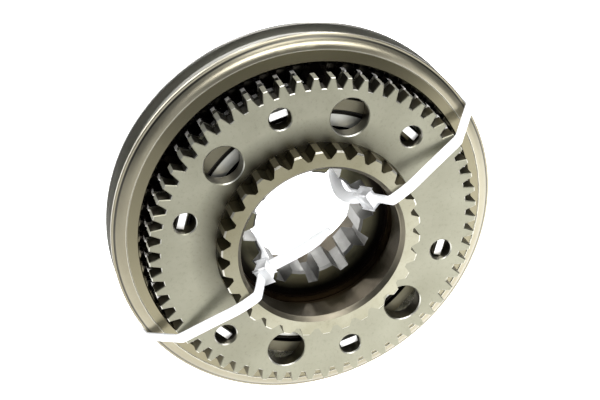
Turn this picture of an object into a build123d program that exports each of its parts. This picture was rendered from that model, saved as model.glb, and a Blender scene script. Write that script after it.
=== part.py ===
from build123d import *

import os
from math import cos, radians, sin, sqrt, tan

# Synchroniser unit of a planetary range-change gearbox.
#
# The unit turns about the Y axis. The origin is on that axis, in the middle plane of the hub.
# The front faces -Y and +Z is up. Stations along the axis are "forward" distances: a station
# of +31 lies 31 mm in front of the middle plane, at y = -31. The rear half mirrors the front.
# All lengths are in millimetres and all angles in degrees, counted from +X towards +Z.

os.makedirs("parts", exist_ok=True)

# ---- main spline: hub, sleeve, synchroniser rings and clutch discs share one tooth pitch ----
MAIN_TEETH = 63
MAIN_PITCH = 360 / MAIN_TEETH
MAIN_PHASE = -0.8  # angle of one tooth centre
MAIN_ROOT_R = 95.0
MAIN_TIP_R = 101.6
MAIN_TIP_HALF = 1.4  # half thickness of a tooth at MAIN_TIP_R
MAIN_FLANK = 0.303  # half thickness gained for each millimetre towards the root
SPLINE_PLAY = 0.28  # sideways play of the sleeve on each flank
SLEEVE_TIP_R = 95.6
SLEEVE_ROOT_R = 103.5
EDGE = 0.45  # bevel round the front edges of the teeth

# ---- collar spline: carries the clutch disc on the drive collar ----
COLLAR_TEETH = 30
COLLAR_PHASE = 44.5
COLLAR_ROOT_R = 56.4
COLLAR_TIP_R = 61.4
COLLAR_TIP_HALF = 1.85
COLLAR_ROOT_HALF = 4.7
COLLAR_TIP_BEVEL = 0.95
COLLAR_PLAY = 0.1  # between the collar's spline and the disc's

# ---- shaft spline in the hub ----
SHAFT_TEETH = 12
SHAFT_GAP_PHASE = 4.1  # angle of one gap centre
SHAFT_TIP_R = 33.5
SHAFT_ROOT_R = 41.4
SHAFT_GAP_HALF_ROOT = 3.0
SHAFT_GAP_HALF_TIP = 4.9
SHAFT_BEVEL = 1.5

# ---- stations along the axis ----
BOSS_HALF = 12.7
RIM_HALF = 10.4
WEB_HALF = 5.5
HUB_LUG_END = 18.0
RING_REAR = 14.3
RING_FRONT = 18.5
DISC_REAR = 21.6
DISC_FRONT = 31.0
COLLAR_REAR = 15.5
COLLAR_FRONT = 43.0
CONE_REAR = 6.4
CONE_FRONT = 19.5
INNER_LUG_REAR = 1.6
DRIVE_LUG_FRONT = 26.5

# ---- sliding sleeve ----
SLEEVE_HALF = 13.6
SLEEVE_NOSE_R = 105.2
SLEEVE_SHOULDER_R = 111.3
SLEEVE_SHOULDER = 11.6
SHOULDER_FOOT_R = 118.0
SHOULDER_FOOT = 8.2
SHOULDER_BULGE = 1.0  # how far the shoulder stands out from a straight cone
SHOULDER_STEP = 0.45
FLANGE_R = 120.0
FLANGE_FRONT = 7.5
GROOVE_FRONT = 4.8
GROOVE_REAR = -11.0
GROOVE_FLOOR_R = 112.8
GROOVE_BEVEL = 1.8  # at the foot of the groove's walls
FLANGE_BEVEL = 0.5
SLEEVE_LEAD = 2.2  # lead-in at the roots of the sleeve's teeth
SLEEVE_SETBACK = 5.0  # how far the tips of those teeth stand back from the end
NOTCH_SETBACK = 0.6  # flat left at the points of the sleeve's teeth
NOTCH_FLOOR = 0.7  # the notches stop this far inside SLEEVE_NOSE_R
DETENT_GROOVE_HALF = 3.0
DETENT_GROOVE_DEPTH = 1.6

# ---- round the unit ----
STATIONS = 6
SMALL_HOLE_R = 6.75
SMALL_HOLE_PCR = 82.15
SMALL_HOLE_PHASE = 45.7
LARGE_HOLE_R = 11.75
LARGE_HOLE_PCR = 78.0
LARGE_HOLE_ANGLES = (75.7, 135.7, 255.7, 315.7)
DETENT_PHASE = MAIN_PHASE + 15.5 * MAIN_PITCH
WINDOW_PHASE = DETENT_PHASE + 30
WINDOW_HALF = 8.6  # half width of a window in a synchroniser ring
WINDOW_INNER_R = 90.4
HUB_LUG_HALF = 5.6
HUB_LUG_INNER_R = 91.4
HUB_LUG_HEIGHT = 3.6
INNER_LUG_HALF = 7.0
INNER_LUG_HEIGHT = 5.2
WEB_WINDOW_HALF = 9.5  # window in the hub's web for a lug of an inner cone ring
WEB_WINDOW_INNER_R = 66.4
WEB_WINDOW_HEIGHT = 8.6
DRIVE_LUG_HALF = 5.65
DRIVE_LUG_INNER_R = 80.9
DRIVE_LUG_HEIGHT = 4.4
HOLE_BEVEL = 0.6

# ---- bores and their rings ----
BORE_R = 49.2
BORE_INNER = 24.7  # station where the bore opens into its undercut
BORE_BEVEL = 2.4
BORE_BEVEL_DEPTH = 2.9
BORE_BREAK = 0.5  # small break between the bevel and the bore
UNDERCUT_R = 53.5
UNDERCUT_BEVEL = 1.2
BOSS_R = 57.0
WASHER_INNER_R = 49.8
WASHER_OUTER_R = 56.5
WASHER_THICKNESS = 2.2
DISC_COUNTERBORE = 2.0
DISC_BORE_BEVEL = 0.7
DISC_BORE_PLAY = 0.1

# ---- retaining ring, in a groove of the collar behind the disc ----
CLIP_INNER_R = 58.3
CLIP_OUTER_R = 64.0
CLIP_THICKNESS = 1.5
CLIP_PLAY = 0.1  # on each side of the ring in its groove
CLIP_EAR_R = 3.3
CLIP_EAR_PCR = 61.9
CLIP_EAR_SPREAD = 16.0  # angle between the two ears
CLIP_EYE_R = 1.4
CLIP_GAP = 9.0

# ---- friction cones, radii where a cone crosses station 11.6 ----
CONE_MID = 11.6
CONE_SLOPE = tan(radians(6.5))
INNER_RING_BORE_R = 67.5
INNER_CONE_R = 75.6
LINING = 1.0
CONE_GAP = 0.32
MIDDLE_RING_WALL = 7.2
LINING_INSET = 0.6  # the linings end short of their rings
RING_TIP_R = 101.9
SKIRT_OUTER_R = 90.2
RIM_INNER_R = 90.7

# ---- detents ----
PLUNGER_R = 3.25
PLUNGER_PLAY = 0.08
PLUNGER_NOSE = 95.2
PLUNGER_LENGTH = 14.0
POCKET_FLOOR = 66.0
PLUNGER_NOSE_ROUND = 2.85
SPRING_SEAT_R = 2.5
SPRING_SEAT_DEPTH = 2.0
SPRING_COIL_R = 1.9
SPRING_WIRE_R = 0.45
SPRING_TURNS = 7

PROFILE = Plane((0, 0, 0), x_dir=(1, 0, 0), z_dir=(0, 0, -1))  # x is the radius, y is forward
made = []


def across(station):
    """The plane square to the axis at a station, facing forward, with +Z up."""
    return Plane.XZ.offset(station)


def around(angle, station=0.0, radius=0.0):
    """A plane square to the radius at an angle: its x runs round the unit, its y forward."""
    a = radians(angle)
    out = Vector(cos(a), 0, sin(a))
    forward = Vector(0, -1, 0)
    return Plane(out * radius + forward * station, x_dir=forward.cross(out), z_dir=out)


def strip(half_width, rear, front):
    """A rectangle centred on the angle of its plane, reaching from one station to another."""
    with BuildSketch() as rectangle:
        with Locations((0, (rear + front) / 2)):
            Rectangle(2 * half_width, front - rear)
    return rectangle.sketch


def keep(part, name):
    """Labels a finished piece and writes its STEP file."""
    part.label = name
    export_step(part, f"parts/{name}.step")
    made.append(name)


def cone_r(radius, station):
    """The radius at a station of the cone that has the given radius at CONE_MID."""
    return radius + (station - CONE_MID) * CONE_SLOPE


def conical_ring(inner_r, outer_r, rear, front, inner_cone=True, outer_cone=True):
    """The section of a ring between two surfaces, each a cone or a cylinder."""
    inner = [cone_r(inner_r, s) if inner_cone else inner_r for s in (rear, front)]
    outer = [cone_r(outer_r, s) if outer_cone else outer_r for s in (rear, front)]
    with BuildSketch() as section:
        with BuildLine():
            Polyline((inner[0], rear), (outer[0], rear), (outer[1], front), (inner[1], front), close=True)
        make_face()
    return section.sketch


def toothed_face(count, phase, root_r, tip_r, root_half, tip_half, inset=0.0):
    """A round face with straight-sided teeth outside it, drawn in by an inset on every side."""
    slope = (root_half - tip_half) / (tip_r - root_r)
    narrower = inset * (sqrt(1 + slope**2) - slope)
    root_r, tip_r = root_r - inset, tip_r - inset
    root_half, tip_half = root_half - narrower, tip_half - narrower
    with BuildSketch() as face:
        Circle(root_r)
        with PolarLocations(0, count, start_angle=phase):
            Polygon(
                (root_r - 2, -root_half),
                (root_r, -root_half),
                (tip_r, -tip_half),
                (tip_r, tip_half),
                (root_r, root_half),
                (root_r - 2, root_half),
                align=None,
            )
    return face.sketch


def main_half(radius):
    """Half the thickness of a main-spline tooth at a radius."""
    return MAIN_TIP_HALF + (MAIN_TIP_R - radius) * MAIN_FLANK


def main_face(tip_r=MAIN_TIP_R, inset=0.0):
    """The main spline's outside profile, up to a tip radius."""
    halves = main_half(MAIN_ROOT_R), main_half(tip_r)
    return toothed_face(MAIN_TEETH, MAIN_PHASE, MAIN_ROOT_R, tip_r, *halves, inset)


def collar_face(play=0.0):
    """The collar spline's outside profile, grown by a play."""
    return toothed_face(
        COLLAR_TEETH,
        COLLAR_PHASE,
        COLLAR_ROOT_R + play,
        COLLAR_TIP_R + play,
        COLLAR_ROOT_HALF + play,
        COLLAR_TIP_HALF + play,
    )


# ---------------------------------------------------------------- synchroniser hub
with BuildPart() as hub:
    with BuildSketch(across(-RIM_HALF)):
        add(main_face())
    extrude(amount=2 * RIM_HALF)
    for side in (1, -1):
        with BuildSketch(PROFILE):
            with BuildLine():
                Polyline(
                    (BOSS_R, side * (RIM_HALF + 1)),
                    (BOSS_R, side * WEB_HALF),
                    (RIM_INNER_R, side * WEB_HALF),
                    (RIM_INNER_R, side * (RIM_HALF - EDGE)),
                    (RIM_INNER_R + EDGE, side * RIM_HALF),
                    (RIM_INNER_R + EDGE, side * (RIM_HALF + 1)),
                    close=True,
                )
            make_face()
        revolve(axis=Axis.Y, mode=Mode.SUBTRACT)
    with BuildSketch(across(-BOSS_HALF)):
        Circle(BOSS_R)
    extrude(amount=2 * BOSS_HALF)
    # driving lugs that stand in the windows of the synchroniser rings
    for i in range(STATIONS):
        with BuildSketch(around(DETENT_PHASE + 60 * i, 0, HUB_LUG_INNER_R)):
            add(strip(HUB_LUG_HALF, RIM_HALF - 1, HUB_LUG_END))
            add(strip(HUB_LUG_HALF, -HUB_LUG_END, 1 - RIM_HALF))
    extrude(amount=HUB_LUG_HEIGHT)
    # shaft spline with a lead-in at each end
    with BuildSketch(across(-BOSS_HALF)):
        Circle(SHAFT_TIP_R)
        with PolarLocations(0, SHAFT_TEETH, start_angle=SHAFT_GAP_PHASE):
            Polygon(
                (SHAFT_TIP_R - 3, -SHAFT_GAP_HALF_TIP),
                (SHAFT_TIP_R, -SHAFT_GAP_HALF_TIP),
                (SHAFT_ROOT_R, -SHAFT_GAP_HALF_ROOT),
                (SHAFT_ROOT_R, SHAFT_GAP_HALF_ROOT),
                (SHAFT_TIP_R, SHAFT_GAP_HALF_TIP),
                (SHAFT_TIP_R - 3, SHAFT_GAP_HALF_TIP),
                align=None,
            )
    extrude(amount=2 * BOSS_HALF, mode=Mode.SUBTRACT)
    for side in (1, -1):
        with BuildSketch(PROFILE):
            with BuildLine():
                Polyline(
                    (SHAFT_TIP_R - 2, side * (BOSS_HALF + 1)),
                    (SHAFT_TIP_R + SHAFT_BEVEL, side * (BOSS_HALF + 1)),
                    (SHAFT_TIP_R + SHAFT_BEVEL, side * BOSS_HALF),
                    (SHAFT_TIP_R, side * (BOSS_HALF - SHAFT_BEVEL)),
                    (SHAFT_TIP_R - 2, side * (BOSS_HALF - SHAFT_BEVEL)),
                    close=True,
                )
            make_face()
        revolve(axis=Axis.Y, mode=Mode.SUBTRACT)
    # windows for the inner cone rings' lugs, and pockets for the detents
    for i in range(STATIONS):
        with BuildSketch(around(WINDOW_PHASE + 60 * i, 0, WEB_WINDOW_INNER_R)):
            add(strip(WEB_WINDOW_HALF, -2 * WEB_HALF, 2 * WEB_HALF))
    extrude(amount=WEB_WINDOW_HEIGHT, mode=Mode.SUBTRACT)
    for i in range(STATIONS):
        with BuildSketch(around(DETENT_PHASE + 60 * i, 0, POCKET_FLOOR)):
            Circle(PLUNGER_R + PLUNGER_PLAY)
    extrude(amount=MAIN_TIP_R + 1 - POCKET_FLOOR, mode=Mode.SUBTRACT)
keep(hub.part, "synchro_hub")

# ---------------------------------------------------------------- sliding sleeve
with BuildPart() as sleeve:
    with BuildSketch(PROFILE):
        with BuildLine():
            shoulder = ThreePointArc(
                (SLEEVE_SHOULDER_R + SHOULDER_STEP, SLEEVE_SHOULDER),
                (
                    (SLEEVE_SHOULDER_R + SHOULDER_FOOT_R + SHOULDER_BULGE) / 2,
                    (SLEEVE_SHOULDER + SHOULDER_FOOT + SHOULDER_BULGE) / 2,
                ),
                (SHOULDER_FOOT_R, SHOULDER_FOOT),
            )
            Polyline(
                shoulder @ 1,
                (SHOULDER_FOOT_R + SHOULDER_STEP, FLANGE_FRONT),
                (FLANGE_R - FLANGE_BEVEL, FLANGE_FRONT),
                (FLANGE_R, FLANGE_FRONT - FLANGE_BEVEL),
                (FLANGE_R, GROOVE_FRONT + FLANGE_BEVEL),
                (FLANGE_R - FLANGE_BEVEL, GROOVE_FRONT),
                (GROOVE_FLOOR_R + GROOVE_BEVEL, GROOVE_FRONT),
                (GROOVE_FLOOR_R, GROOVE_FRONT - GROOVE_BEVEL),
                (GROOVE_FLOOR_R, GROOVE_REAR + GROOVE_BEVEL),
                (GROOVE_FLOOR_R + GROOVE_BEVEL, GROOVE_REAR),
                (FLANGE_R - FLANGE_BEVEL, GROOVE_REAR),
                (FLANGE_R, GROOVE_REAR - FLANGE_BEVEL),
                (FLANGE_R, FLANGE_BEVEL - SLEEVE_HALF),
                (FLANGE_R - FLANGE_BEVEL, -SLEEVE_HALF),
                (SLEEVE_TIP_R, -SLEEVE_HALF),
                (SLEEVE_TIP_R, SLEEVE_HALF),
                (SLEEVE_NOSE_R, SLEEVE_HALF),
                (SLEEVE_SHOULDER_R, SLEEVE_SHOULDER - SHOULDER_STEP),
                shoulder @ 0,
            )
        make_face()
    revolve(axis=Axis.Y)
    # the teeth end in a steep cone at the front and the rear, and carry the detent groove
    for side in (1, -1):
        with BuildSketch(PROFILE):
            with BuildLine():
                Polyline(
                    (SLEEVE_TIP_R - 1, side * (SLEEVE_HALF + 1)),
                    (SLEEVE_NOSE_R, side * (SLEEVE_HALF + 1)),
                    (SLEEVE_NOSE_R, side * SLEEVE_HALF),
                    (SLEEVE_NOSE_R - SLEEVE_LEAD, side * (SLEEVE_HALF - SLEEVE_LEAD)),
                    (SLEEVE_TIP_R - 1, side * (SLEEVE_HALF - SLEEVE_SETBACK)),
                    close=True,
                )
            make_face()
        revolve(axis=Axis.Y, mode=Mode.SUBTRACT)
    with BuildSketch(PROFILE):
        with BuildLine():
            Polyline(
                (SLEEVE_TIP_R - 1, -DETENT_GROOVE_HALF),
                (SLEEVE_TIP_R, -DETENT_GROOVE_HALF),
                (SLEEVE_TIP_R + DETENT_GROOVE_DEPTH, 0),
                (SLEEVE_TIP_R, DETENT_GROOVE_HALF),
                (SLEEVE_TIP_R - 1, DETENT_GROOVE_HALF),
                close=True,
            )
        make_face()
    revolve(axis=Axis.Y, mode=Mode.SUBTRACT)
    with BuildSketch(across(-SLEEVE_HALF)):
        with PolarLocations(0, MAIN_TEETH, start_angle=MAIN_PHASE):
            Polygon(
                (SLEEVE_TIP_R - 2, -main_half(SLEEVE_TIP_R) - SPLINE_PLAY),
                (SLEEVE_TIP_R, -main_half(SLEEVE_TIP_R) - SPLINE_PLAY),
                (SLEEVE_ROOT_R, -main_half(SLEEVE_ROOT_R) - SPLINE_PLAY),
                (SLEEVE_ROOT_R, main_half(SLEEVE_ROOT_R) + SPLINE_PLAY),
                (SLEEVE_TIP_R, main_half(SLEEVE_TIP_R) + SPLINE_PLAY),
                (SLEEVE_TIP_R - 2, main_half(SLEEVE_TIP_R) + SPLINE_PLAY),
                align=None,
            )
    extrude(amount=2 * SLEEVE_HALF, mode=Mode.SUBTRACT)
    # V notches between the teeth point their ends
    half = radians(MAIN_PITCH) * SLEEVE_ROOT_R / 2
    for i in range(MAIN_TEETH):
        with BuildSketch(around(MAIN_PHASE + i * MAIN_PITCH, 0, SLEEVE_TIP_R - 1)):
            for side in (1, -1):
                mouth = side * (SLEEVE_HALF + NOTCH_SETBACK)
                Polygon((-half, mouth), (half, mouth), (0, mouth - side * half), align=None)
    extrude(amount=SLEEVE_NOSE_R - NOTCH_FLOOR - SLEEVE_TIP_R + 1, mode=Mode.SUBTRACT)
keep(sleeve.part, "sliding_sleeve")

# ---------------------------------------------------------------- clutch disc
disc_bore_r = COLLAR_TIP_R + DISC_BORE_PLAY
with BuildPart() as disc:
    with BuildSketch(across(DISC_REAR)):
        add(main_face())
    extrude(amount=DISC_FRONT - EDGE - DISC_REAR)
    with BuildSketch(across(DISC_FRONT - EDGE)):
        add(main_face())
    with BuildSketch(across(DISC_FRONT)):
        add(main_face(inset=EDGE))
    loft(ruled=True)
    with BuildSketch(across(DISC_REAR)):
        add(collar_face(COLLAR_PLAY))
    extrude(amount=DISC_FRONT - DISC_REAR, mode=Mode.SUBTRACT)
    # the disc's own spline stops short of its front face, behind a bevelled bore
    with BuildSketch(PROFILE):
        with BuildLine():
            Polyline(
                (COLLAR_ROOT_R - 1, DISC_FRONT + 1),
                (disc_bore_r + DISC_BORE_BEVEL, DISC_FRONT + 1),
                (disc_bore_r + DISC_BORE_BEVEL, DISC_FRONT),
                (disc_bore_r, DISC_FRONT - DISC_BORE_BEVEL),
                (disc_bore_r, DISC_FRONT - DISC_COUNTERBORE),
                (COLLAR_ROOT_R - 1, DISC_FRONT - DISC_COUNTERBORE),
                close=True,
            )
        make_face()
    revolve(axis=Axis.Y, mode=Mode.SUBTRACT)
    with BuildSketch(across(DISC_REAR)):
        with PolarLocations(SMALL_HOLE_PCR, STATIONS, start_angle=SMALL_HOLE_PHASE):
            Circle(SMALL_HOLE_R)
        for angle in LARGE_HOLE_ANGLES:
            with PolarLocations(LARGE_HOLE_PCR, 1, start_angle=angle):
                Circle(LARGE_HOLE_R)
    extrude(amount=DISC_FRONT - DISC_REAR, mode=Mode.SUBTRACT)
    rims = disc.edges().filter_by(GeomType.CIRCLE).filter_by(lambda e: e.radius < LARGE_HOLE_R + 1)
    chamfer(rims.group_by(Axis.Y)[0], HOLE_BEVEL)
keep(disc.part, "front_clutch_disc")

# ---------------------------------------------------------------- drive collar
clip_rear = DISC_REAR - CLIP_THICKNESS - 2 * CLIP_PLAY
with BuildPart() as collar:
    with BuildSketch(across(COLLAR_REAR)):
        add(collar_face())
    extrude(amount=COLLAR_FRONT - COLLAR_REAR)
    with BuildSketch(PROFILE):
        with BuildLine():
            Polyline(
                (COLLAR_TIP_R + 1, COLLAR_FRONT + 1),
                (COLLAR_TIP_R - COLLAR_TIP_BEVEL, COLLAR_FRONT + 1),
                (COLLAR_TIP_R - COLLAR_TIP_BEVEL, COLLAR_FRONT),
                (COLLAR_TIP_R, COLLAR_FRONT - COLLAR_TIP_BEVEL),
                (COLLAR_TIP_R + 1, COLLAR_FRONT - COLLAR_TIP_BEVEL),
                close=True,
            )
        make_face()
    revolve(axis=Axis.Y, mode=Mode.SUBTRACT)
    with BuildSketch(across(COLLAR_REAR)):
        Circle(BORE_R)
    extrude(amount=COLLAR_FRONT - COLLAR_REAR, mode=Mode.SUBTRACT)
    with BuildSketch(PROFILE):
        with BuildLine():
            Polyline(
                (BORE_R - 1, COLLAR_FRONT + 1),
                (BORE_R + BORE_BEVEL, COLLAR_FRONT + 1),
                (BORE_R + BORE_BEVEL, COLLAR_FRONT),
                (BORE_R + BORE_BREAK, COLLAR_FRONT - BORE_BEVEL_DEPTH + BORE_BREAK),
                (BORE_R, COLLAR_FRONT - BORE_BEVEL_DEPTH),
                (BORE_R - 1, COLLAR_FRONT - BORE_BEVEL_DEPTH),
                close=True,
            )
        make_face()
    revolve(axis=Axis.Y, mode=Mode.SUBTRACT)
    with BuildSketch(PROFILE):
        with BuildLine():
            Polyline(
                (BORE_R - 1, BORE_INNER),
                (BORE_R, BORE_INNER),
                (BORE_R + UNDERCUT_BEVEL, BORE_INNER - UNDERCUT_BEVEL),
                (UNDERCUT_R, BORE_INNER - UNDERCUT_BEVEL),
                (UNDERCUT_R, COLLAR_REAR - 1),
                (BORE_R - 1, COLLAR_REAR - 1),
                close=True,
            )
        make_face()
    revolve(axis=Axis.Y, mode=Mode.SUBTRACT)
    # groove for the retaining ring behind the disc
    with BuildSketch(PROFILE):
        with Locations((CLIP_INNER_R - CLIP_PLAY, clip_rear - CLIP_PLAY)):
            Rectangle(CLIP_OUTER_R - CLIP_INNER_R, CLIP_THICKNESS + 2 * CLIP_PLAY, align=Align.MIN)
    revolve(axis=Axis.Y, mode=Mode.SUBTRACT)
keep(collar.part, "front_drive_collar")

# ---------------------------------------------------------------- retaining ring
with BuildPart() as circlip:
    with BuildSketch(across(clip_rear)):
        Circle(CLIP_OUTER_R)
        Circle(CLIP_INNER_R, mode=Mode.SUBTRACT)
        with PolarLocations(CLIP_EAR_PCR, 1, start_angle=-90):
            Rectangle(2 * CLIP_EAR_R, CLIP_GAP, mode=Mode.SUBTRACT)
        for side in (1, -1):
            with PolarLocations(CLIP_EAR_PCR, 1, start_angle=-90 + side * CLIP_EAR_SPREAD / 2):
                Circle(CLIP_EAR_R)
                Circle(CLIP_EYE_R, mode=Mode.SUBTRACT)
    extrude(amount=CLIP_THICKNESS)
keep(circlip.part, "front_retaining_ring")

# ---------------------------------------------------------------- thrust washer
with BuildPart() as washer:
    with BuildSketch(across(BOSS_HALF)):
        Circle(WASHER_OUTER_R)
        Circle(WASHER_INNER_R, mode=Mode.SUBTRACT)
    extrude(amount=WASHER_THICKNESS)
keep(washer.part, "front_thrust_washer")

# ---------------------------------------------------------------- inner cone ring and its lining
with BuildPart() as inner_ring:
    with BuildSketch(PROFILE):
        add(conical_ring(INNER_RING_BORE_R, INNER_CONE_R, CONE_REAR, CONE_FRONT, inner_cone=False))
    revolve(axis=Axis.Y)
    # lugs that reach into the windows of the hub's web
    for i in range(STATIONS):
        with BuildSketch(around(WINDOW_PHASE + 60 * i, 0, INNER_RING_BORE_R)):
            add(strip(INNER_LUG_HALF, INNER_LUG_REAR, CONE_REAR + 1))
    extrude(amount=INNER_LUG_HEIGHT)
keep(inner_ring.part, "front_inner_cone_ring")

inner_lining_r = INNER_CONE_R + LINING
with BuildPart() as inner_lining:
    with BuildSketch(PROFILE):
        ends = CONE_REAR + LINING_INSET, CONE_FRONT - LINING_INSET
        add(conical_ring(INNER_CONE_R, inner_lining_r, *ends))
    revolve(axis=Axis.Y)
keep(inner_lining.part, "front_inner_friction_lining")

# ---------------------------------------------------------------- intermediate cone ring
middle_inner_r = inner_lining_r + CONE_GAP
middle_outer_r = middle_inner_r + MIDDLE_RING_WALL
middle_front = DISC_REAR - CONE_GAP
with BuildPart() as middle_ring:
    with BuildSketch(PROFILE):
        add(conical_ring(middle_inner_r, middle_outer_r, CONE_REAR, middle_front))
    revolve(axis=Axis.Y)
    # driving lugs that reach into the small holes of the clutch disc
    for i in range(STATIONS):
        with BuildSketch(around(SMALL_HOLE_PHASE + 60 * i, 0, DRIVE_LUG_INNER_R)):
            add(strip(DRIVE_LUG_HALF, middle_front - 1, DRIVE_LUG_FRONT))
    extrude(amount=DRIVE_LUG_HEIGHT)
keep(middle_ring.part, "front_intermediate_ring")

# ---------------------------------------------------------------- outer synchroniser ring and its lining
lining_inner_r = middle_outer_r + CONE_GAP
skirt_inner_r = lining_inner_r + LINING
with BuildPart() as synchro_ring:
    with BuildSketch(across(RING_REAR)):
        add(main_face(RING_TIP_R))
    extrude(amount=RING_FRONT - RING_REAR)
    for i in range(STATIONS):
        with BuildSketch(around(DETENT_PHASE + 60 * i, 0, WINDOW_INNER_R)):
            add(strip(WINDOW_HALF, RING_REAR - 1, RING_FRONT + 1))
    extrude(amount=RING_TIP_R + 1 - WINDOW_INNER_R, mode=Mode.SUBTRACT)
    with BuildSketch(PROFILE):
        with Locations((0, CONE_REAR)):
            Rectangle(SKIRT_OUTER_R, RING_FRONT - CONE_REAR, align=Align.MIN)
    revolve(axis=Axis.Y)
    with BuildSketch(PROFILE):
        with BuildLine():
            Polyline(
                (0, CONE_REAR - 1),
                (cone_r(skirt_inner_r, CONE_REAR - 1), CONE_REAR - 1),
                (cone_r(skirt_inner_r, RING_FRONT + 1), RING_FRONT + 1),
                (0, RING_FRONT + 1),
                close=True,
            )
        make_face()
    revolve(axis=Axis.Y, mode=Mode.SUBTRACT)
keep(synchro_ring.part, "front_synchro_ring")

with BuildPart() as outer_lining:
    with BuildSketch(PROFILE):
        ends = CONE_REAR + LINING_INSET, RING_FRONT - LINING_INSET
        add(conical_ring(lining_inner_r, skirt_inner_r, *ends))
    revolve(axis=Axis.Y)
keep(outer_lining.part, "front_outer_friction_lining")

# ---------------------------------------------------------------- the rear half mirrors the front
for front in (
    disc,
    collar,
    circlip,
    washer,
    inner_ring,
    inner_lining,
    middle_ring,
    synchro_ring,
    outer_lining,
):
    with BuildPart() as rear:
        mirror(front.part, about=Plane.XZ)
    keep(rear.part, front.part.label.replace("front_", "rear_"))

# ---------------------------------------------------------------- detent plungers and springs
plunger_back = PLUNGER_NOSE - PLUNGER_LENGTH
coil_height = plunger_back + SPRING_SEAT_DEPTH - POCKET_FLOOR - 2 * SPRING_WIRE_R
for i in range(STATIONS):
    angle = DETENT_PHASE + 60 * i
    with BuildPart() as plunger:
        with BuildSketch(around(angle, 0, plunger_back)):
            Circle(PLUNGER_R)
        extrude(amount=PLUNGER_LENGTH)
        nose = plunger.edges().sort_by(Axis((0, 0, 0), around(angle).z_dir))[-1]
        fillet(nose, PLUNGER_NOSE_ROUND)
        with BuildSketch(around(angle, 0, plunger_back)):
            Circle(SPRING_SEAT_R)
        extrude(amount=SPRING_SEAT_DEPTH, mode=Mode.SUBTRACT)
    keep(plunger.part, f"detent_plunger_{i + 1}")
    foot = around(angle, 0, POCKET_FLOOR + SPRING_WIRE_R)
    with BuildPart() as spring:
        with BuildLine() as coil:
            Helix(coil_height / SPRING_TURNS, coil_height, SPRING_COIL_R, foot.origin, foot.z_dir)
        with BuildSketch(Plane(coil.line @ 0, z_dir=coil.line % 0)):
            Circle(SPRING_WIRE_R)
        sweep()
    keep(spring.part, f"detent_spring_{i + 1}")

print(len(made), "pieces:", ", ".join(made))
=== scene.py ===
from math import copysign, cos, radians, sin

import bmesh
import bpy
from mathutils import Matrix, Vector


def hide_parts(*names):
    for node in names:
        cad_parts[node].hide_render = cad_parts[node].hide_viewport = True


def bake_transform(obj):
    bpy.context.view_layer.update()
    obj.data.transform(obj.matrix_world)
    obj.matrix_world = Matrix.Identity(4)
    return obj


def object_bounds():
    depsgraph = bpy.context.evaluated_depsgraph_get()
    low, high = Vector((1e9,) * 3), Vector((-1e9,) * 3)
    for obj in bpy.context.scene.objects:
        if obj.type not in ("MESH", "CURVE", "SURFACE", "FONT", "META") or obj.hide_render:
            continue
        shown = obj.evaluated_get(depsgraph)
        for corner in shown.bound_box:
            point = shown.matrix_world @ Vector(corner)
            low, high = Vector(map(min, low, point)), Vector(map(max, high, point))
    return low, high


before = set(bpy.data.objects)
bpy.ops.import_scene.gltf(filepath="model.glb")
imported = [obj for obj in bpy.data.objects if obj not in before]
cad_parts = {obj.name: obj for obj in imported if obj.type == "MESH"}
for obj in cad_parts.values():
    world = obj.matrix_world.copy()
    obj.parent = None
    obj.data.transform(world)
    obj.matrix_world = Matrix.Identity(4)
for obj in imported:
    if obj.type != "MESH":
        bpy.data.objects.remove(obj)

# Looks of a range-change synchroniser unit. The unit turns about the Y axis, its front faces -Y
# and +Z is up. A place on it is an angle round the axis (degrees, from +X towards +Z), a radius
# and a "forward" distance from the hub's middle plane, both in metres.

CAD_BOX = [list(corner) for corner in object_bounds()]
FLOOR_Z = CAD_BOX[0][2]
MM = 0.001
FORWARD = Vector((0.0, -1.0, 0.0))
REARWARD = Vector((0.0, 1.0, 0.0))
UPWARD = Vector((0.0, 0.0, 1.0))
UPPER_LEFT = Vector((-0.6, 0.0, 0.8))


def place(angle, radius, forward):
    """A place in the unit's frame."""
    a = radians(angle)
    return Vector((radius * cos(a), -forward, radius * sin(a)))


# ---------------------------------------------------------------- materials
SOFT_EDGE = 0.2 * MM  # half of the distance over which a mask fades
# How squarely a surface faces along the axis, from 0 to 1: where it goes over from a flank,
# which runs along the axis, to a slant, and from a slant to an end face.
FLANK_TO_SLANT = (0.25, 0.45)
SLANT_TO_END = (0.90, 0.97)
SPECK = (0.62, 0.60, 0.56)  # what a dark speck leaves of the colour under it
CLEAR = (1.0, 1.0, 1.0)
RELIEF = 0.2 * MM  # the height of a full bump


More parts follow.
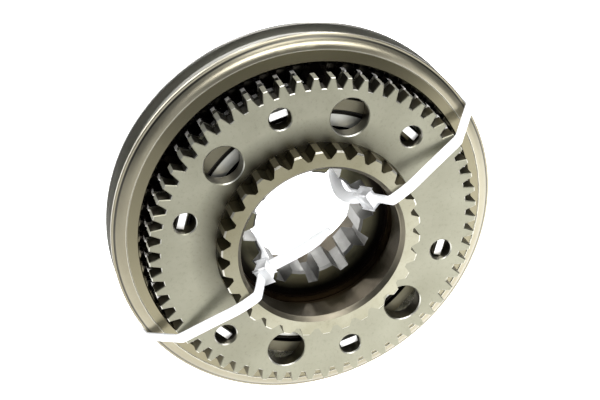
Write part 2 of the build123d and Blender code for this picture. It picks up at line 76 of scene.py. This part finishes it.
class Look:
    """A new material, with short calls for its nodes.

    A mask is a node whose first output is 1 in some places and 0 in the others. All places are
    taken from the object's own coordinates, so they are metres in the unit's frame.
    """

    def __init__(self, name):
        self.material = bpy.data.materials.new(name)
        self.material.use_nodes = True
        self.tree = self.material.node_tree
        self.tree.nodes.clear()
        self.shader = self.add("ShaderNodeBsdfPrincipled")
        self.link(self.shader, "BSDF", self.add("ShaderNodeOutputMaterial"), "Surface")
        self.surface = self.add("ShaderNodeTexCoord")

    def add(self, kind, **settings):
        node = self.tree.nodes.new(kind)
        for key, value in settings.items():
            setattr(node, key, value)
        return node

    def link(self, source, output, target, inlet):
        self.tree.links.new(source.outputs[output], target.inputs[inlet])

    def set(self, **values):
        """Sets some of the shader's inlets; an underscore stands for a space in their names."""
        for inlet, value in values.items():
            self.shader.inputs[inlet.replace("_", " ")].default_value = value

    # textures
    def noise(self, scale, detail=4.0, roughness=0.6):
        node = self.add("ShaderNodeTexNoise")
        node.inputs["Scale"].default_value = scale
        node.inputs["Detail"].default_value = detail
        node.inputs["Roughness"].default_value = roughness
        self.link(self.surface, "Object", node, "Vector")
        return node

    def ramp(self, noise, *stops):
        """A colour ramp fed by a noise; each of its two stops is a factor and a colour."""
        node = self.add("ShaderNodeValToRGB")
        for element, (factor, color) in zip(node.color_ramp.elements, stops):
            element.position = factor
            element.color = (*color, 1)
        self.link(noise, "Fac", node, "Fac")
        return node

    def remap(self, source, output, low, high, start=0.3, end=0.7):
        """Values from low to high as a source goes from start to end, and no further."""
        node = self.add("ShaderNodeMapRange")
        node.inputs["From Min"].default_value = start
        node.inputs["From Max"].default_value = end
        node.inputs["To Min"].default_value = low
        node.inputs["To Max"].default_value = high
        self.link(source, output, node, "Value")
        return node

    def bump(self, source, strength, distance, base=None):
        node = self.add("ShaderNodeBump")
        node.inputs["Strength"].default_value = strength
        node.inputs["Distance"].default_value = distance
        self.link(source, "Fac", node, "Height")
        if base:
            self.link(base, "Normal", node, "Normal")
        return node

    # measures
    def spoke(self):
        """The vector from the axis out to a place."""
        flat = self.add("ShaderNodeMapping")
        flat.inputs["Scale"].default_value = (1.0, 0.0, 1.0)
        self.link(self.surface, "Object", flat, "Vector")
        return flat

    def radius(self):
        """The distance from the axis."""
        length = self.add("ShaderNodeVectorMath", operation="LENGTH")
        self.link(self.spoke(), "Vector", length, "Vector")
        return length

    def toward(self, direction):
        """The distance from the hub's middle along a direction."""
        share = self.add("ShaderNodeVectorMath", operation="DOT_PRODUCT")
        share.inputs[1].default_value = direction
        self.link(self.surface, "Object", share, 0)
        return share

    def unsigned(self, source, output="Value"):
        size = self.add("ShaderNodeMath", operation="ABSOLUTE")
        self.link(source, output, size, "Value")
        return size

    def facing(self):
        """How squarely a surface faces along the axis: 1 on an end face, 0 on a flank."""
        parts = self.add("ShaderNodeSeparateXYZ")
        self.link(self.surface, "Normal", parts, "Vector")
        return self.unsigned(parts, "Y")

    def outward(self):
        """How squarely a surface faces the axis: 1 on a tip or a root, near 0 on a flank."""
        spoke = self.add("ShaderNodeVectorMath", operation="NORMALIZE")
        self.link(self.spoke(), "Vector", spoke, "Vector")
        share = self.add("ShaderNodeVectorMath", operation="DOT_PRODUCT")
        self.link(spoke, "Vector", share, 0)
        self.link(self.surface, "Normal", share, 1)
        return self.unsigned(share)

    # masks
    def above(self, source, start, full, strength=1.0):
        """A mask that rises from 0 to its strength as a measure goes from start to full."""
        return self.remap(source, "Value", 0.0, strength, start, full)

    def below(self, source, full, end):
        """A mask that falls from 1 to 0 as a measure goes from full to end."""
        return self.remap(source, "Value", 1.0, 0.0, full, end)

    def both(self, *masks):
        """Where every one of some masks is high."""
        overlap = masks[0]
        for mask in masks[1:]:
            product = self.add("ShaderNodeMath", operation="MULTIPLY")
            self.link(overlap, 0, product, 0)
            self.link(mask, 0, product, 1)
            overlap = product
        return overlap

    def within(self, source, low, high):
        """Where a measure lies between two limits."""
        return self.both(
            self.above(source, low - SOFT_EDGE, low + SOFT_EDGE),
            self.below(source, high - SOFT_EDGE, high + SOFT_EDGE),
        )

    def sides(self):
        """Where a surface runs along the axis, as a tooth's flanks, tip and root do."""
        return self.below(self.facing(), *FLANK_TO_SLANT)

    def ends(self):
        """Where a surface is square to the axis."""
        return self.above(self.facing(), *SLANT_TO_END)

    def slants(self):
        """Where a surface slants, as a bevel does."""
        facing = self.facing()
        return self.both(
            self.above(facing, *FLANK_TO_SLANT), self.below(facing, *SLANT_TO_END)
        )

    # layers
    def overlay(self, mask, inlet, kind, value):
        """Puts a value over what feeds one of the shader's inlets, wherever a mask is high."""
        mix = self.add("ShaderNodeMix", data_type=kind)
        mix.inputs["B"].default_value = value
        self.link(mask, 0, mix, "Factor")
        below = self.shader.inputs[inlet].links[0].from_socket
        self.tree.links.new(below, mix.inputs["A"])
        self.link(mix, "Result", self.shader, inlet)

    def dull(self, mask, rough):
        self.overlay(mask, "Roughness", "FLOAT", rough)

    def stain(self, mask, color):
        self.overlay(mask, "Base Color", "RGBA", (*color, 1))


def steel(
    name, dark, light, *, rough, grain, depth,
    blotch=28.0, specked=0.35, worn=0.08, turned=0.0, rings=0.0,
):
    """Steel with a mottled tone, dark specks, a fine grain and worn patches.

    dark and light are the mottling's colours and blotch is its scale; specked says how much the
    specks show, grain and depth are the grain's scale and strength, and the roughness goes worn
    each way from rough. Turned steel stretches its highlights round the axis, and rings is the
    strength of its turning marks.
    """
    look = Look(name)
    look.set(Metallic=1.0)
    mottling = look.noise(blotch, 5.0, 0.65)
    specks = look.noise(grain * 0.35, 3.0, 0.7)  # about three grains wide
    wear = look.noise(blotch * 4, 6.0, 0.7)
    color = look.add("ShaderNodeMix", data_type="RGBA", blend_type="MULTIPLY")
    color.inputs["Factor"].default_value = specked
    look.link(look.ramp(mottling, (0.32, dark), (0.68, light)), "Color", color, "A")
    look.link(look.ramp(specks, (0.30, SPECK), (0.46, CLEAR)), "Color", color, "B")
    look.link(color, "Result", look.shader, "Base Color")
    gloss = look.remap(wear, "Fac", rough - worn, rough + worn)
    look.link(gloss, "Result", look.shader, "Roughness")
    relief = look.bump(look.noise(grain, 4.0, 0.75), depth, RELIEF)
    if rings:
        waves = look.add("ShaderNodeTexWave", wave_type="RINGS", rings_direction="Y")
        waves.inputs["Scale"].default_value = 300.0
        waves.inputs["Distortion"].default_value = 1.5
        waves.inputs["Detail"].default_value = 3.0
        waves.inputs["Detail Scale"].default_value = 2.0
        look.link(look.surface, "Object", waves, "Vector")
        relief = look.bump(waves, rings, RELIEF / 2, relief)
    look.link(relief, "Normal", look.shader, "Normal")
    if turned:
        look.set(Anisotropic=turned)
        around = look.add("ShaderNodeTangent", direction_type="RADIAL", axis="Y")
        look.link(around, "Tangent", look.shader, "Tangent")
    return look


def plastic(name, color, rough):
    """White nylon with a faint moulded unevenness, which lets some light through, and a painted
    glow that brightens it all over.
    """
    look = Look(name)
    shade = [0.93 * c for c in color]
    cloud = look.ramp(look.noise(160.0), (0.35, shade), (0.6, color))
    look.link(cloud, "Color", look.shader, "Base Color")
    gloss = look.remap(look.noise(700.0), "Fac", rough - 0.05, rough + 0.08)
    look.link(gloss, "Result", look.shader, "Roughness")
    look.link(look.bump(look.noise(420.0), 0.12, RELIEF), "Normal", look.shader, "Normal")
    look.set(Subsurface_Weight=0.35, Subsurface_Radius=(4 * MM, 4 * MM, 4 * MM))
    # A painted glow brightens the nylon all over.
    look.set(Emission_Color=(*color, 1), Emission_Strength=0.26)
    return look


disc = steel(
    "disc_satin_steel", (0.215, 0.210, 0.158), (0.285, 0.280, 0.218),
    rough=0.36, grain=1300.0, depth=0.14,
)
collar = steel(
    "collar_ground_steel", (0.27, 0.258, 0.185), (0.38, 0.367, 0.285),
    rough=0.36, grain=1500.0, depth=0.20, blotch=40.0,
)
sleeve = steel(
    "sleeve_turned_steel", (0.27, 0.245, 0.175), (0.34, 0.315, 0.24),
    rough=0.30, grain=1100.0, depth=0.02,
    blotch=14.0, specked=0.1, worn=0.02, turned=0.6, rings=0.02,
)
hub = steel(
    "hub_satin_steel", (0.13, 0.128, 0.12), (0.22, 0.217, 0.205),
    rough=0.36, grain=1200.0, depth=0.12,
)
ring = steel(
    "ring_bright_steel", (0.50, 0.49, 0.46), (0.72, 0.71, 0.68),
    rough=0.26, grain=1400.0, depth=0.08, turned=0.4, rings=0.04,
)
cone = steel(
    "cone_oiled_steel", (0.10, 0.092, 0.062), (0.17, 0.158, 0.115),
    rough=0.42, grain=1400.0, depth=0.04, specked=0.1,
)
inner_cone = steel(
    "cone_brushed_steel", (0.42, 0.42, 0.385), (0.56, 0.56, 0.52),
    rough=0.42, grain=1400.0, depth=0.03, specked=0.1,
)
spring = steel(
    "spring_dark_steel", (0.16, 0.16, 0.17), (0.28, 0.28, 0.29),
    rough=0.35, grain=1800.0, depth=0.10,
)
lining = steel(
    "sintered_friction_layer", (0.012, 0.011, 0.010), (0.035, 0.03, 0.025),
    rough=0.75, grain=2400.0, depth=0.60,
)
lining.set(Metallic=0.1)
bronze = steel(
    "bearing_bronze", (0.05, 0.035, 0.022), (0.10, 0.07, 0.04),
    rough=0.40, grain=1200.0, depth=0.15, turned=0.4,
)
nylon = plastic("tie_white_nylon", (0.90, 0.91, 0.92), 0.28)

# Tooth flanks carry painted shade, for the dark of the gaps between the teeth. The teeth's lands
# are turned and painted light, a painted highlight, and the bevels at their tips and roots carry a
# painted highlight. Each row has the radius from which the part is toothed.
for part, toothed_from, flank, land, bevel in (
    (disc, 94.0 * MM, (0.15, 0.138, 0.105), (0.60, 0.595, 0.51), (0.62, 0.61, 0.54)),
    (collar, 56.0 * MM, (0.085, 0.070, 0.050), (0.36, 0.33, 0.25), (0.90, 0.88, 0.80)),
    (ring, 94.0 * MM, (0.06, 0.055, 0.048), (0.95, 0.94, 0.92), (0.90, 0.89, 0.87)),
):
    sides = part.sides()
    outward = part.outward()
    toothed = part.above(part.radius(), toothed_from - SOFT_EDGE, toothed_from + SOFT_EDGE)
    lands = part.both(sides, part.above(outward, 0.5, 0.8), toothed)
    part.stain(sides, flank)
    part.stain(lands, land)
    part.dull(lands, 0.55)
    part.stain(part.both(part.slants(), part.above(outward, 0.35, 0.50)), bevel)

# The gaps' floors carry painted shade, darker than the tips.
disc_roots = disc.within(disc.radius(), 93.5 * MM, 95.4 * MM)
disc.stain(disc.both(disc.sides(), disc_roots), (0.16, 0.15, 0.13))
collar_roots = collar.below(collar.radius(), 56.6 * MM, 56.9 * MM)
collar.stain(collar.both(collar.sides(), collar_roots), (0.08, 0.07, 0.05))

# Painted shade darkens the disc towards its bore on its upper left, where the collar shadows it,
# and the collar towards its upper left. The collar's bore is painted dark, painted shade inside
# it, and its mouth a little less.
shaded = disc.above(disc.toward(UPPER_LEFT), -20 * MM, 60 * MM)
near_bore = disc.below(disc.radius(), 63.0 * MM, 78.0 * MM)
disc.stain(disc.both(near_bore, shaded, disc.ends()), (0.05, 0.046, 0.032))
shaded = collar.above(collar.toward(UPPER_LEFT), -30 * MM, 50 * MM, 0.65)
collar.stain(shaded, (0.12, 0.105, 0.055))
collar_bore = collar.below(collar.radius(), 49.4 * MM, 49.7 * MM)
collar.stain(collar_bore, (0.075, 0.062, 0.042))
bore_mouth = collar.below(collar.radius(), 51.8 * MM, 52.0 * MM)
collar.stain(collar.both(bore_mouth, collar.slants()), (0.20, 0.18, 0.135))

# Painted shade lies on the hub's web, outside its shaft spline, and on the cones between the lugs
# that show in the discs' holes. The ends of the intermediate ring's lugs are bright.
DEEP_SHADE = (0.010, 0.009, 0.007)
hub.stain(hub.ends(), (0.10, 0.094, 0.06))
hub.stain(hub.above(hub.radius(), 40.5 * MM, 45.5 * MM), (0.012, 0.010, 0.008))
cone.stain(cone.below(cone.radius(), 78.2 * MM, 78.6 * MM), DEEP_SHADE)
lug_ends = cone.above(cone.unsigned(cone.toward(REARWARD)), 22.5 * MM, 23.0 * MM)
cone.stain(lug_ends, (0.85, 0.85, 0.83))
inner_cone.stain(inner_cone.above(inner_cone.radius(), 74.8 * MM, 75.1 * MM), DEEP_SHADE)

# The sleeve's ends are brown and rough inside the shoulder, with painted shade at the top. A
# painted highlight runs round the shoulder as a bright line, and the teeth inside carry painted
# shade.
end_face = sleeve.within(sleeve.radius(), 103.5 * MM, 111.2 * MM)
sleeve.stain(end_face, (0.21, 0.19, 0.125))
sleeve.dull(end_face, 0.30)
top = sleeve.above(sleeve.toward(UPWARD), 60 * MM, 105 * MM, 0.75)
sleeve.stain(sleeve.both(end_face, top), (0.045, 0.040, 0.022))
shoulder_highlight = sleeve.within(sleeve.radius(), 111.25 * MM, 111.9 * MM)
sleeve.stain(shoulder_highlight, (0.80, 0.78, 0.68))
# The fork groove is ground, and its highlights stretch further round the axis.
groove = sleeve.both(
    sleeve.within(sleeve.radius(), 112.4 * MM, 119.7 * MM),
    sleeve.within(sleeve.toward(REARWARD), -5.1 * MM, 11.3 * MM),
)
sleeve.stain(groove, (0.42, 0.415, 0.38))
sleeve.dull(groove, 0.44)
stretch = sleeve.remap(groove, 0, 0.6, 1.0, 0.0, 1.0)
sleeve.link(stretch, "Result", sleeve.shader, "Anisotropic")
# The rear flange's rim is darker, and the step before the front flange carries painted shade in
# its corner.
rear_rim = sleeve.both(
    sleeve.above(sleeve.radius(), 119.2 * MM, 119.6 * MM),
    sleeve.above(sleeve.toward(REARWARD), 10.4 * MM, 10.8 * MM),
)
sleeve.stain(rear_rim, (0.16, 0.155, 0.14))
step = sleeve.both(
    sleeve.within(sleeve.radius(), 117.6 * MM, 118.7 * MM),
    sleeve.below(sleeve.toward(REARWARD), -7.1 * MM, -6.9 * MM),
)
sleeve.stain(step, (0.10, 0.095, 0.08))
# Painted shade darkens the teeth inside the sleeve.
inner_teeth_shade = sleeve.below(sleeve.radius(), 103.5 * MM, 104.5 * MM)
sleeve.stain(inner_teeth_shade, (0.03, 0.027, 0.022))


def paint(look, *names):
    """Gives a look to every surface of some CAD nodes."""
    for name in names:
        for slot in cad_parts[name].material_slots:
            slot.material = look.material


paint(sleeve, "sliding_sleeve")
paint(hub, "synchro_hub")
for end in ("front", "rear"):
    paint(disc, f"{end}_clutch_disc")
    paint(collar, f"{end}_drive_collar")
    paint(ring, f"{end}_synchro_ring")
    paint(cone, f"{end}_intermediate_ring")
    paint(inner_cone, f"{end}_inner_cone_ring")
    paint(spring, f"{end}_retaining_ring")
    paint(bronze, f"{end}_thrust_washer")
    paint(lining, f"{end}_inner_friction_lining", f"{end}_outer_friction_lining")
for number in range(1, 7):
    paint(ring, f"detent_plunger_{number}")
    paint(spring, f"detent_spring_{number}")


# ---------------------------------------------------------------- shared mesh work
def skin(bm, rings, closed=False):
    """Faces between each ring of vertices and the next, and over both ends of an open run."""
    for a, b in zip(rings, rings[1:] + rings[:1] if closed else rings[1:]):
        for j in range(len(a)):
            k = (j + 1) % len(a)
            bm.faces.new((a[j], a[k], b[k], b[j]))
    if not closed:
        bm.faces.new(rings[0][::-1])
        bm.faces.new(rings[-1])


def piece(name, bm, look):
    """A smooth object made from a bmesh, which is used up."""
    bmesh.ops.recalc_face_normals(bm, faces=bm.faces)
    mesh = bpy.data.meshes.new(name)
    bm.to_mesh(mesh)
    bm.free()
    for polygon in mesh.polygons:
        polygon.use_smooth = True
    obj = bpy.data.objects.new(name, mesh)
    bpy.context.scene.collection.objects.link(obj)
    mesh.materials.append(look.material)
    return obj


# ---------------------------------------------------------------- nylon ties
STRAP_HALF = 3.6 * MM  # of its width
STRAP_THICK = 1.3 * MM
EDGE_OUT = 0.6 * STRAP_THICK  # how far the strap's rounded edge stands out from its flat part
EDGE_UP = 0.65 * STRAP_THICK
CORNERS = (-50, -20, 20, 50, 130, 160, 200, 230)  # degrees round the strap's section
PATH_STEP = 1.5 * MM
TIP_STEPS = 8  # at the end of a tail, over which it narrows
TIP_WIDTH = 0.45  # of the strap's
HEAD_BLOCK = (8.6 * MM, 11.6 * MM, 6.4 * MM)  # along the strap, across it, and through it
HEAD_BEVEL = 1.0 * MM
LIP_BLOCK = (2.6 * MM, 9.2 * MM, 4.0 * MM)
LIP_BEVEL = 0.7 * MM
LIP_BACK = 4.6 * MM  # from the head's middle to the lip's

# The strap's route in its radial plane: control points of radius and forward distance in mm,
# from the collar's front edge over the disc's rim and the sleeve's flanges to the rear, and
# back through the bore.
LOOP = [
    (47.6, 43.2), (48.6, 44.4), (50.5, 44.6), (61.8, 44.1), (78.0, 38.9), (100.2, 32.6),
    (102.3, 31.9), (104.0, 29.6), (111.5, 20.1), (120.3, 9.1), (121.0, 7.9), (121.1, 3.9),
    (121.1, -10.0), (121.1, -13.6), (120.4, -15.0), (104.0, -29.8), (102.2, -31.9), (100.2, -32.6),
    (78.0, -38.9), (61.8, -44.1), (50.5, -44.6), (48.6, -44.4), (47.6, -43.2), (40.5, -28.0),
    (33.4, -14.0), (32.6, -12.4), (32.6, 0.0), (32.6, 12.4), (33.4, 14.0), (40.5, 29.0),
]
HEAD_AT = (37.8 * MM, 27.4 * MM)  # the head's middle: radius and forward distance
HEAD_LINE = (15.6, 31.0)  # the way the strap runs there: outward and forward
TAIL_FACE = Vector((-0.27, -0.86, 0.43))  # the way the broad side of a tail faces
TAIL_TWIST = 8  # steps along a tail over which it turns that way


def smooth_path(points, closed=False):
    """Even steps along a NURBS curve whose control points are the given ones."""
    curve = bpy.data.curves.new("path", "CURVE")
    curve.dimensions = "3D"
    curve.resolution_u = 16
    spline = curve.splines.new("NURBS")
    spline.points.add(len(points) - 1)
    for control, point in zip(spline.points, points):
        control.co = (*point, 1)
    spline.order_u = 3
    spline.use_endpoint_u = not closed
    spline.use_cyclic_u = closed
    holder = bpy.data.objects.new("path", curve)
    bpy.context.scene.collection.objects.link(holder)
    mesh = bpy.data.meshes.new_from_object(holder)
    raw = [vertex.co.copy() for vertex in mesh.vertices]
    bpy.data.objects.remove(holder)
    bpy.data.curves.remove(curve)
    bpy.data.meshes.remove(mesh)
    path, left = [raw[0]], PATH_STEP
    for start, end in zip(raw, raw[1:] + raw[:1] if closed else raw[1:]):
        length = (end - start).length
        while left <= length:
            path.append(start.lerp(end, left / length))
            left += PATH_STEP
        left -= length
    return path


def strap(bm, path, widths, closed=False):
    """A flat band with rounded edges along a path; widths has its crosswise direction at each
    point. An open band narrows to its end."""
    section = [(cos(radians(a)) * EDGE_OUT, sin(radians(a)) * EDGE_UP) for a in CORNERS]
    last = len(path) - 1
    rings = []
    for k, (point, across) in enumerate(zip(path, widths)):
        ahead = path[(k + 1) % len(path)] if closed or k < last else point
        behind = path[k - 1] if closed or k else point
        along = (ahead - behind).normalized()
        across = (across - along * across.dot(along)).normalized()
        up = along.cross(across)
        share = 1.0 if closed else min(1.0, TIP_WIDTH + (1 - TIP_WIDTH) * (last - k) / TIP_STEPS)
        half = (STRAP_HALF - EDGE_OUT) * share
        rings.append([
            bm.verts.new(point + across * (copysign(half, x) + x) + up * z) for x, z in section
        ])
    skin(bm, rings, closed)


def block(bm, middle, axes, sides, bevel):
    """A box with rounded edges, with its sides along three axes."""
    made = bmesh.ops.create_cube(bm, size=1.0)["verts"]
    for vertex in made:
        steps = [share * side for share, side in zip(vertex.co, sides)]
        vertex.co = sum((axis * step for axis, step in zip(axes, steps)), middle)
    edges = {edge for vertex in made for edge in vertex.link_edges}
    bmesh.ops.bevel(bm, geom=list(edges), offset=bevel, segments=3, profile=0.6, affect="EDGES")


def tie_head(bm, middle, along, across):
    """The tie's lock: a block round the strap, with a lip where the tail comes out."""
    along = along.normalized()
    across = (across - along * across.dot(along)).normalized()
    axes = (along, across, along.cross(across))
    block(bm, middle, axes, HEAD_BLOCK, HEAD_BEVEL)
    block(bm, middle - along * LIP_BACK, axes, LIP_BLOCK, LIP_BEVEL)


def tie(name, angle, tail):
    """One tie: a closed loop in the radial plane at an angle, its head and its free tail, whose
    control points are an angle, a radius and a forward distance in mm."""
    bm = bmesh.new()
    crosswise = place(angle + 90, 1.0, 0.0)
    route = smooth_path([place(angle, r * MM, f * MM) for r, f in LOOP], closed=True)
    strap(bm, route, [crosswise] * len(route), closed=True)
    tie_head(bm, place(angle, *HEAD_AT), place(angle, *HEAD_LINE), crosswise)
    route = smooth_path([place(a, r * MM, f * MM) for a, r, f in tail])
    widths = []
    for k in range(len(route)):
        along = route[min(k + 1, len(route) - 1)] - route[max(k - 1, 0)]
        flat = along.cross(TAIL_FACE).normalized()
        if flat.dot(widths[-1] if widths else crosswise) < 0:
            flat.negate()
        widths.append(crosswise.lerp(flat, min(1.0, k / TAIL_TWIST)))
    strap(bm, route, widths)
    obj = piece(name, bm, nylon)
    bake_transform(obj)


tie("shipping_tie_upper", 31.6, [
    (31.6, 38.0, 25.5), (34.0, 33.6, 23.5), (38.4, 28.4, 19.0), (41.8, 26.7, 11.0),
    (43.0, 28.0, 2.0), (43.4, 30.6, -9.0), (44.0, 34.0, -20.0),
])
tie("shipping_tie_lower", 213.2, [
    (213.2, 38.0, 25.5), (215.0, 33.2, 24.5), (219.7, 27.0, 23.0), (232.0, 18.4, 21.5),
    (266.6, 12.0, 18.0), (321.6, 13.5, 12.0), (335.0, 17.0, 9.0),
])

# ---------------------------------------------------------------- detent springs
SPRING_TURNS = 7
COIL_R = 1.9 * MM
WIRE_R = 0.45 * MM
COIL_STEPS = 28  # a turn
WIRE_SIDES = 10


def detent_coil(number):
    """A coil in the place of the CAD spring."""
    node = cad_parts[f"detent_spring_{number}"]
    points = [node.matrix_world @ vertex.co for vertex in node.data.vertices]
    spoke = sum(points, Vector())
    spoke.y = 0.0
    spoke.normalize()
    sideways = spoke.cross(FORWARD)
    heights = [point.dot(spoke) for point in points]
    foot, top = min(heights) + WIRE_R, max(heights) - WIRE_R
    bm = bmesh.new()
    steps = SPRING_TURNS * COIL_STEPS
    section = [radians(360 * j / WIRE_SIDES) for j in range(WIRE_SIDES)]
    rings = []
    for k in range(steps + 1):
        turn = radians(360 * k / COIL_STEPS)
        out = FORWARD * cos(turn) + sideways * sin(turn)
        centre = spoke * (foot + (top - foot) * k / steps) + out * COIL_R
        rings.append([
            bm.verts.new(centre + (out * cos(a) + spoke * sin(a)) * WIRE_R) for a in section
        ])
    skin(bm, rings)
    obj = piece(f"detent_coil_{number}", bm, spring)
    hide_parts(f"detent_spring_{number}")
    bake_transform(obj)


for number in range(1, 7):
    detent_coil(number)

# ---------------------------------------------------------------- floor
FLOOR_HALF = 40.0
corners = ((-1, -1), (1, -1), (1, 1), (-1, 1))
floor_mesh = bpy.data.meshes.new("floor")
floor_mesh.from_pydata(
    [(x * FLOOR_HALF, y * FLOOR_HALF, FLOOR_Z) for x, y in corners], [], [(0, 1, 2, 3)]
)
floor = bpy.data.objects.new("floor", floor_mesh)
bpy.context.scene.collection.objects.link(floor)
table = Look("white_table")
cloud = table.ramp(table.noise(3.0), (0.3, (0.93, 0.93, 0.93)), (0.7, (0.95, 0.95, 0.95)))
table.link(cloud, "Color", table.shader, "Base Color")
table.set(Roughness=0.35, Specular_IOR_Level=0.3, Emission_Color=(1.0, 1.0, 1.0, 1.0))
# The sheet glows, painted light that stands in for a sheet lit from behind. It is brightest round
# the unit's rear and far away. In front of the unit, where the picture doesn't show it, the glow
# is dim, a painted dark room, so the discs mirror a dark lower left.
RIGHT_REAR = Vector((0.8, 1.0, 0.0))
near = table.remap(table.toward(RIGHT_REAR), "Value", 0.30, 1.6, -0.42, 0.0)
distance = table.add("ShaderNodeVectorMath", operation="LENGTH")
table.link(table.surface, "Object", distance, "Vector")
far = table.remap(distance, "Value", 0.0, 0.95, 0.8, 1.6)
glow = table.add("ShaderNodeMath", operation="MAXIMUM")
table.link(near, 0, glow, 0)
table.link(far, 0, glow, 1)
table.link(glow, "Value", table.shader, "Emission Strength")
floor_mesh.materials.append(table.material)

# ---------------------------------------------------------------- lights
world = bpy.data.worlds.new("studio")
bpy.context.scene.world = world
world.use_nodes = True
sky = world.node_tree
sky.nodes.clear()
room = sky.nodes.new("ShaderNodeBackground")
room.inputs["Color"].default_value = (0.90, 0.95, 1.0, 1.0)
room.inputs["Strength"].default_value = 0.16
sky_out = sky.nodes.new("ShaderNodeOutputWorld")
sky.links.new(room.outputs["Background"], sky_out.inputs["Surface"])


def softbox(name, at, size, power):
    """A rectangular lamp aimed at the unit, which lights and mirrors in the steel but isn't
    itself in the picture. Its size is in metres and its power in watts."""
    lamp = bpy.data.lights.new(name, "AREA")
    lamp.shape = "RECTANGLE"
    lamp.size, lamp.size_y = size
    lamp.energy = power
    obj = bpy.data.objects.new(name, lamp)
    obj.location = at
    obj.rotation_euler = (-Vector(at)).to_track_quat("-Z", "Y").to_euler()
    obj.visible_camera = False
    bpy.context.scene.collection.objects.link(obj)


softbox("top_softbox", (0.15, -0.25, 1.1), (0.9, 0.6), 9.0)
softbox("front_softbox", (0.20, -1.0, 0.84), (1.1, 0.34), 11.0)
softbox("low_right_softbox", (1.2, -1.1, 0.06), (0.8, 0.25), 1.2)
softbox("back_panel", (0.0, 1.9, 1.1), (3.2, 1.6), 6.0)
# the strips behind make the bright streaks in the fork groove
for number, (x, z) in enumerate(((0.54, 0.68), (-0.08, 0.86), (-0.53, 0.69), (-0.80, 0.36)), 1):
    softbox(f"back_strip_{number}", (x, 1.46, z), (0.13, 0.55), 2.5)

# ---------------------------------------------------------------- camera
CAMERA_AT = (-0.2062, -0.7207, 0.3861)
CAMERA_LOOKS = Vector((0.2437, 0.8599, -0.4485))  # down and to the right, on to the front
camera_data = bpy.data.cameras.new("camera")
camera_data.lens = 81.97
camera_data.sensor_width = 36.0
camera = bpy.data.objects.new("camera", camera_data)
camera.location = CAMERA_AT
camera.rotation_euler = CAMERA_LOOKS.to_track_quat("-Z", "Y").to_euler()
bpy.context.scene.collection.objects.link(camera)
bpy.context.scene.camera = camera
bpy.context.scene.view_settings.view_transform = "Standard"
